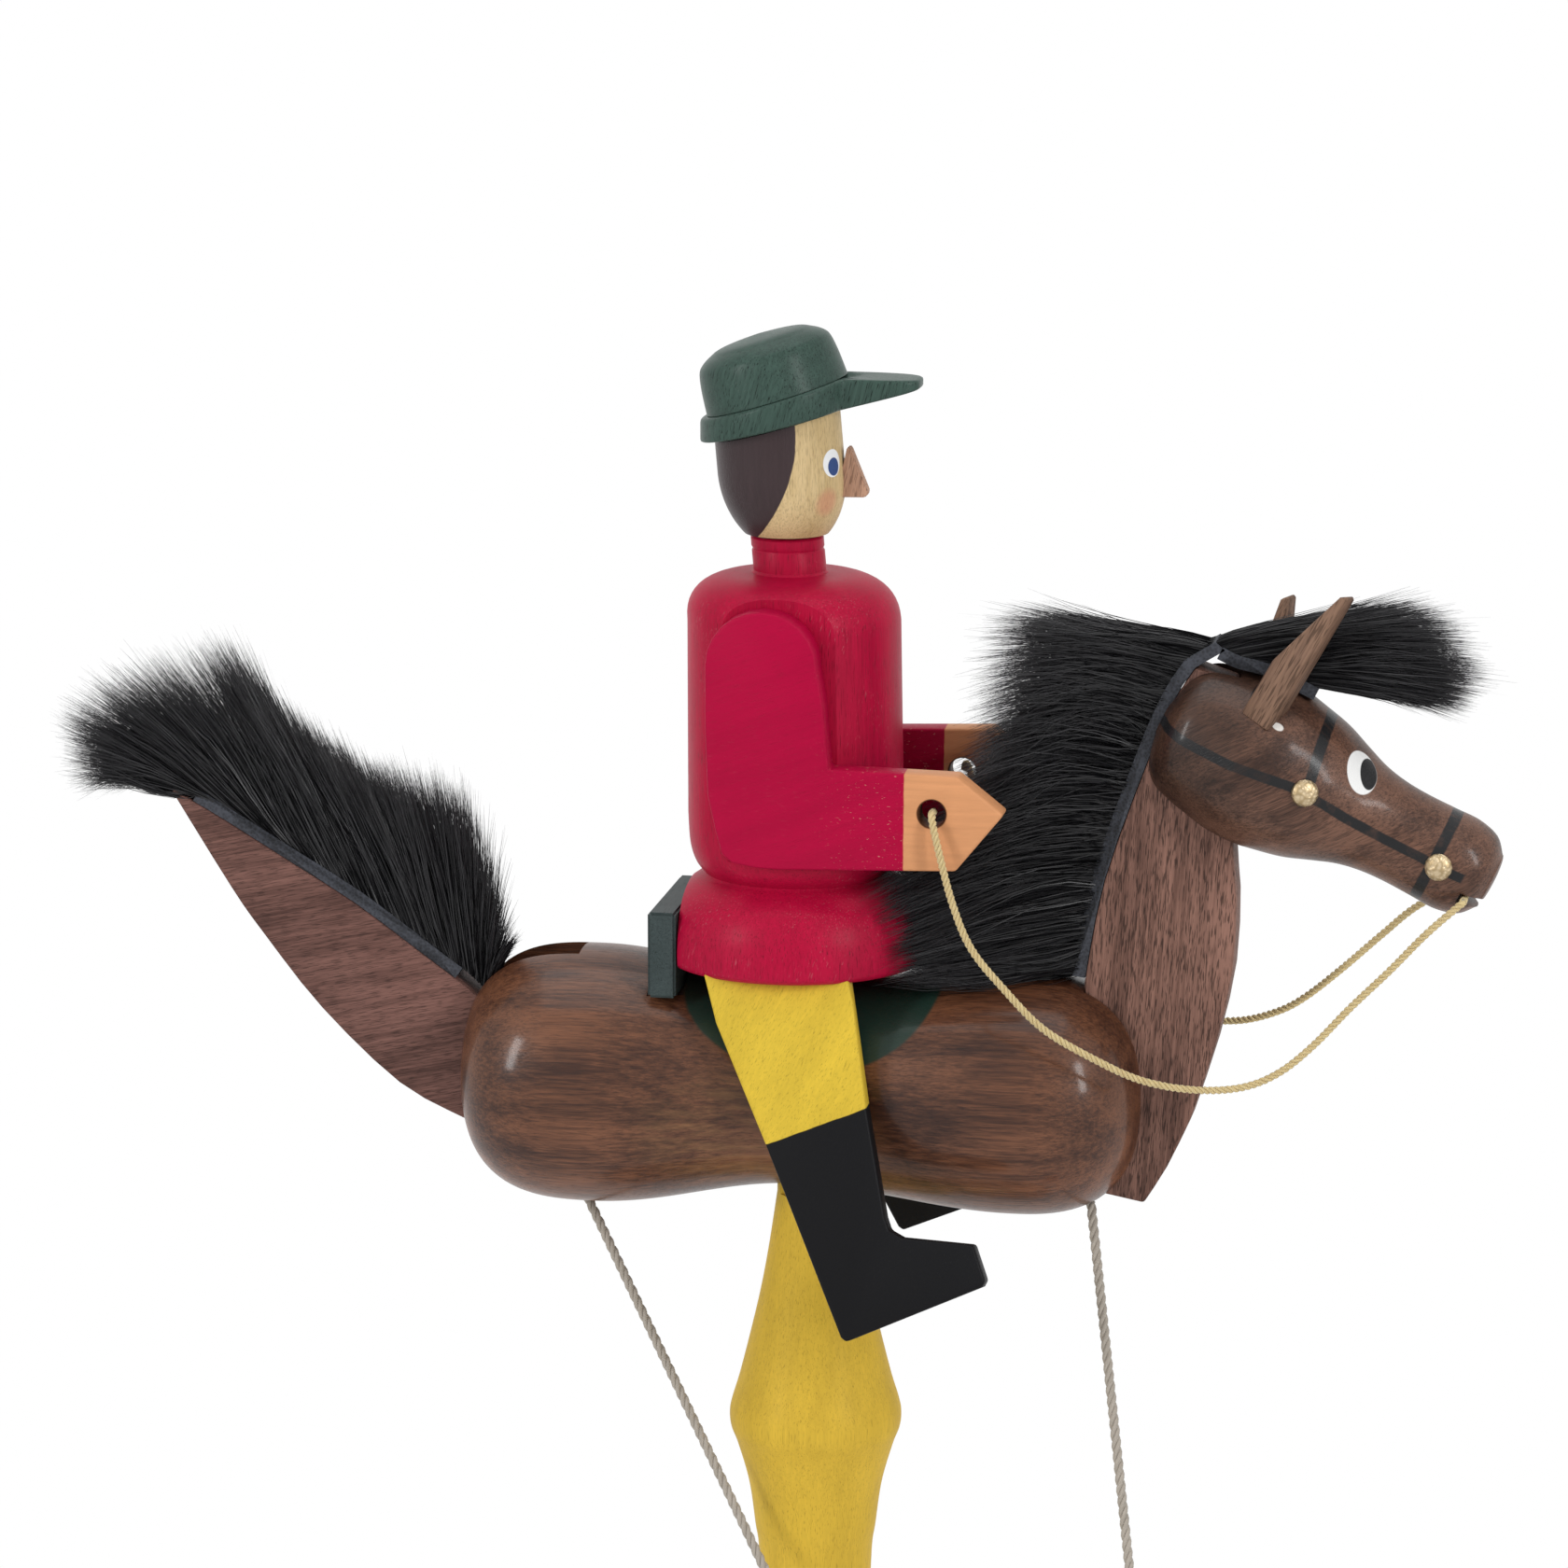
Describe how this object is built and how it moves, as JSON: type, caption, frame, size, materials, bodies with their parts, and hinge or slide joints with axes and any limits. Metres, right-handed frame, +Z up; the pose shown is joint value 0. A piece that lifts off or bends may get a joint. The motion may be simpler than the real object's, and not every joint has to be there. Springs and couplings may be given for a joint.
{
  "type": "pendulum rider toy",
  "caption": "Wooden toy horse with a seated rider, rocking on a turned post; a ball on two strings hangs from the belly as pendulum.",
  "frame": {"origin": "centre of the base's underside", "axes": "+Z up along the post, +X towards the horse's nose, -Y the rider's right side"},
  "size_m": [0.2851, 0.168, 0.4701],
  "materials": {
    "base_green": "painted, semi-gloss",
    "post_yellow": "stained, matte",
    "steel": "plain",
    "body_wood": "dark stain, glossy lacquer",
    "board_wood": "brown stain, satin lacquer",
    "ear_wood": "brown stain",
    "leather": "raw edge",
    "fur": "long black fur",
    "brass": "hammered",
    "saddle_green": "painted, semi-gloss",
    "rein_cord": "twisted cord",
    "coat_red": "painted, semi-matte",
    "dowel_wood": "raw",
    "face_wood": "lacquered, painted face",
    "cap_green": "painted, semi-gloss",
    "arm_red": "painted, semi-matte",
    "leg_yellow": "painted, matte",
    "string_cord": "twisted string",
    "ball_red": "painted, semi-gloss"
  },
  "bodies": {
    "stand": {"base": "base_green", "post": "post_yellow"},
    "horse": {"pivot_pin": "steel", "horse_body": "body_wood", "tail_board": "board_wood", "tail_strip": "leather", "tail_hair": "fur", "neck_board": "board_wood", "mane_strip": "leather", "mane_hair": "fur", "horse_head": "board_wood", "near_ear": "ear_wood", "far_ear": "ear_wood", "near_cheek_stud": "brass", "far_cheek_stud": "brass", "near_bit_stud": "brass", "far_bit_stud": "brass", "forelock_strip": "leather", "forelock_hair": "fur", "cantle": "saddle_green", "reins": "rein_cord", "rider_coat": "coat_red", "neck_dowel": "dowel_wood", "rider_head": "face_wood", "rider_nose": "face_wood", "cap_brim": "cap_green", "cap_crown": "cap_green", "near_arm": "arm_red", "far_arm": "arm_red", "near_leg": "leg_yellow", "far_leg": "leg_yellow"},
    "pendulum": {"rear_string": "string_cord", "front_string": "string_cord", "pendulum_ball": "ball_red"}
  },
  "joints": [
    {"name": "horse_rock", "type": "hinge", "parent": "stand", "child": "horse", "pos_m": [0, 0, 0.33], "axis": [0, -1, 0], "range_deg": [0, 5]},
    {"name": "pendulum_swing", "type": "hinge", "parent": "horse", "child": "pendulum", "pos_m": [-0.0463, 0, 0.29461], "axis": [-0.9992, 0, -0.0388], "range_deg": [0, 40]}
  ]
}
